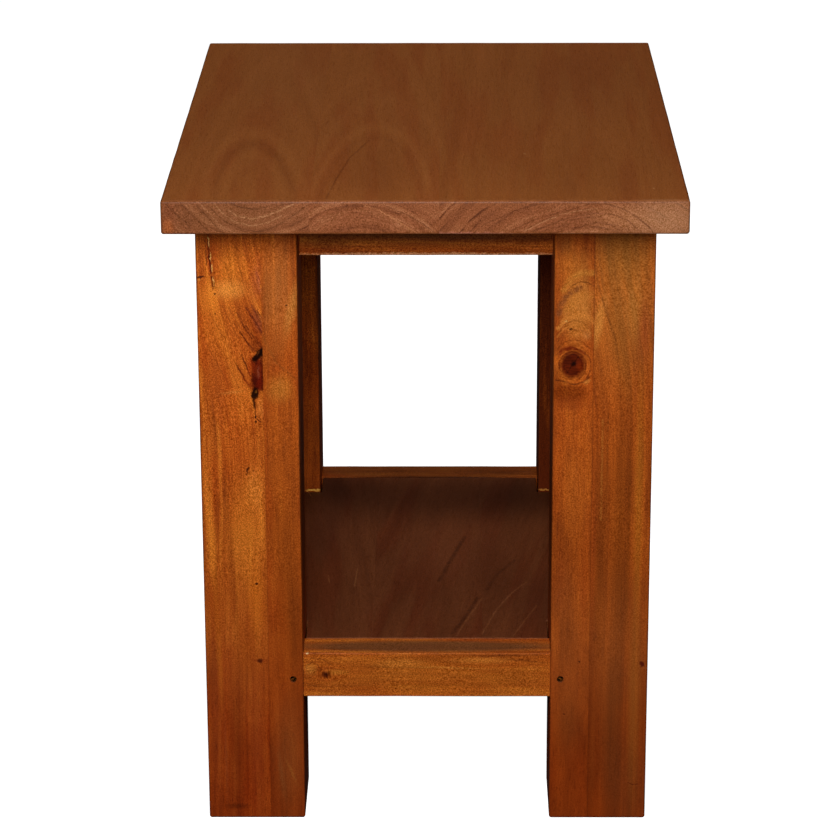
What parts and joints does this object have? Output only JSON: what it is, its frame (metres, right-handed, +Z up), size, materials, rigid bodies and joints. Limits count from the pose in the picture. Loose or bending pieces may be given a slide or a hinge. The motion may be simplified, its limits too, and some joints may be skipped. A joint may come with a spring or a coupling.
{
  "type": "lamp table",
  "caption": "Solid wood lamp table with a thick overhanging top, square laminated legs, recessed aprons and a low open shelf.",
  "frame": {"origin": "centre of the footprint on the floor", "axes": "+Z up; +Y along the longer side of the top, from the end shown in the picture to the far end; +X along the shorter side, to the right seen from the front end"},
  "size_m": [0.45, 0.62, 0.6],
  "materials": {
    "top_wood": "satin lacquered dark brown hardwood",
    "leg_wood": "satin lacquered warm brown hardwood with knots",
    "rail_wood": "satin lacquered warm brown hardwood",
    "shelf_wood": "satin lacquered dark brown hardwood",
    "inner_wood": "sawn and stained hardwood",
    "steel": "plain steel"
  },
  "bodies": {
    "root": {"top_board_left": "top_wood", "top_board_middle": "top_wood", "top_board_right": "top_wood", "leg_front_left_outer_stave": "leg_wood", "leg_front_left_inner_stave": "leg_wood", "leg_front_right_outer_stave": "leg_wood", "leg_front_right_inner_stave": "leg_wood", "leg_rear_left_outer_stave": "leg_wood", "leg_rear_left_inner_stave": "leg_wood", "leg_rear_right_outer_stave": "leg_wood", "leg_rear_right_inner_stave": "leg_wood", "apron_front": "rail_wood", "rail_front": "rail_wood", "cleat_front": "inner_wood", "apron_right": "rail_wood", "rail_right": "rail_wood", "cleat_right": "inner_wood", "apron_rear": "rail_wood", "rail_rear": "rail_wood", "cleat_rear": "inner_wood", "apron_left": "rail_wood", "rail_left": "rail_wood", "cleat_left": "inner_wood", "shelf_board_1": "shelf_wood", "shelf_board_2": "shelf_wood", "shelf_board_3": "shelf_wood", "corner_block_front_left": "inner_wood", "corner_block_front_right": "inner_wood", "corner_block_rear_left": "inner_wood", "corner_block_rear_right": "inner_wood", "cleat_screws": "steel", "shelf_screws": "steel", "top_screws": "steel", "rail_pins": "steel"}
  },
  "joints": []
}
